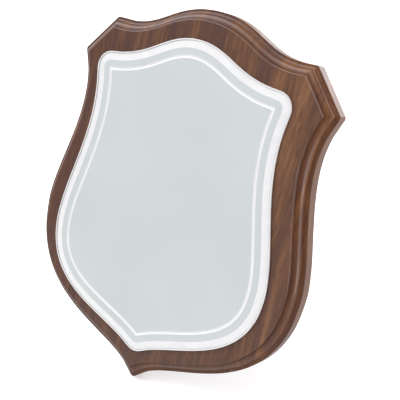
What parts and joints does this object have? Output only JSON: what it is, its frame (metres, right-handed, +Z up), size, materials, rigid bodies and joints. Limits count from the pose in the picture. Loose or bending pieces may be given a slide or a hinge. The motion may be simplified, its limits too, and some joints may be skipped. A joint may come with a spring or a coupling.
{
  "type": "shield plaque",
  "caption": "Walnut-finish shield plaque with a bevelled silver plate, leaning back on its tip and a folding rear easel strut, with a sawtooth wall hanger.",
  "frame": {"origin": "on the ground, under the middle of the whole plaque's box with the strut open", "axes": "+Z up, -Y towards the viewer in front of the plate, +X to that viewer's right; the board leans back 22 degrees towards +Y"},
  "size_m": [0.2286, 0.122, 0.2591],
  "materials": {
    "walnut_foil": "dark walnut grain foil, semi-gloss lacquer",
    "mdf": "raw machined fibreboard",
    "backing_paper": "matt dark brown laminate paper",
    "adhesive": "double-sided foam film",
    "silver_plate": "satin silver field, bright bevel, lip and engraved line",
    "strut_board": "hardboard painted satin black",
    "steel": "zinc-plated pressed steel",
    "brassed_steel": "brass-plated pressed steel",
    "rubber": "matt black rubber"
  },
  "bodies": {
    "board": {"shield_core": "mdf", "walnut_wrap": "walnut_foil", "back_laminate": "backing_paper", "plate_adhesive": "adhesive", "award_plate": "silver_plate", "board_hinge_leaf": "steel", "hinge_pin": "steel", "board_leaf_screw_left": "steel", "board_leaf_screw_right": "steel", "board_leaf_screw_middle": "steel", "sawtooth_hanger": "brassed_steel", "hanger_screw_left": "steel", "hanger_screw_right": "steel", "wall_bumper_upper_left": "rubber", "wall_bumper_upper_right": "rubber", "wall_bumper_lower_left": "rubber", "wall_bumper_lower_right": "rubber"},
    "strut": {"strut_leg": "strut_board", "strut_hinge_leaf": "steel", "strut_foot_left": "rubber", "strut_foot_right": "rubber", "strut_rivet_left": "steel", "strut_rivet_right": "steel", "strut_rivet_middle": "steel"}
  },
  "joints": [
    {"name": "strut_hinge", "type": "hinge", "parent": "board", "child": "strut", "pos_m": [0, 0.04183, 0.21633], "axis": [1, 0, 0], "range_deg": [-26, 0]}
  ]
}
